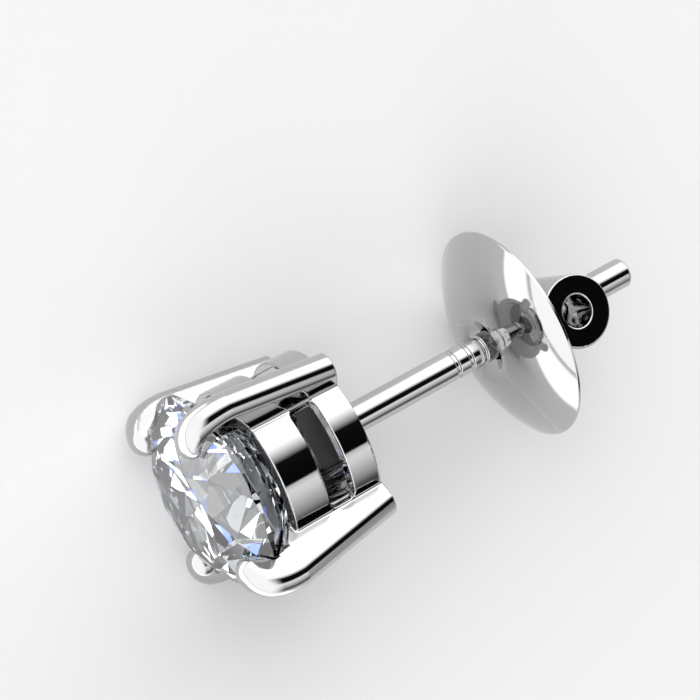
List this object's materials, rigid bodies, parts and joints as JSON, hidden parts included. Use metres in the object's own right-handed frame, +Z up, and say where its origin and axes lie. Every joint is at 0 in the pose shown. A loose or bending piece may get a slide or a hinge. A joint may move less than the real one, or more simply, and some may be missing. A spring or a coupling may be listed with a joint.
{
  "type": "stud earring",
  "caption": "Stud earring: a round brilliant held by prongs over an open ring basket, on a straight post with a domed disc ear nut and cross barrel.",
  "frame": {"origin": "middle of the bounding box in plan, at the surface that the stud lies on", "axes": "+X along the post from stone to tip, less a small tilt; +Z up from the surface"},
  "size_m": [0.0156, 0.0064, 0.0065],
  "materials": {
    "stone": "polished, cut facets",
    "setting": "polished white precious metal",
    "ear_nut": "polished white precious metal"
  },
  "bodies": {
    "stud": {"stone": "stone", "setting": "setting"},
    "nut": {"ear_nut": "ear_nut"}
  },
  "joints": [
    {"name": "ear_nut_slide", "type": "slide", "parent": "stud", "child": "nut", "axis": [0.9997, 0, 0.0246], "range_m": [-0.0048, 0.006]}
  ]
}
